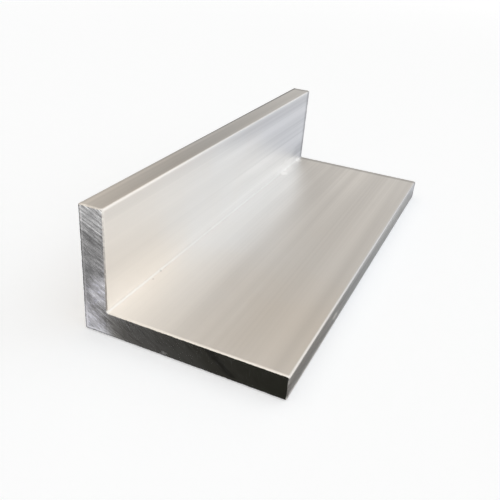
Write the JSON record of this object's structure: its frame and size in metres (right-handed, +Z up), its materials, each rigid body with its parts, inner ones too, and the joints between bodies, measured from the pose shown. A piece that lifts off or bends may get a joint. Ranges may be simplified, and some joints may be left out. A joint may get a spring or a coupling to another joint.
{
  "type": "aluminium angle bar",
  "caption": "Unequal-leg aluminium angle, a thick L-section extruded in one piece, with square-sawn ends, lying on its wide leg; raw stock for brackets, frames and edge trims.",
  "frame": {"origin": "on the ground, under the middle of the bar's bounding box", "axes": "+X across the foot leg from the heel to the toe, +Y along the bar, +Z up the upright leg"},
  "size_m": [0.08, 0.2, 0.05],
  "materials": {
    "mill_aluminium": "mill finish with faint lengthwise die lines, saw marks on the cut ends"
  },
  "bodies": {
    "root": {"angle_bar": "mill_aluminium"}
  },
  "joints": []
}
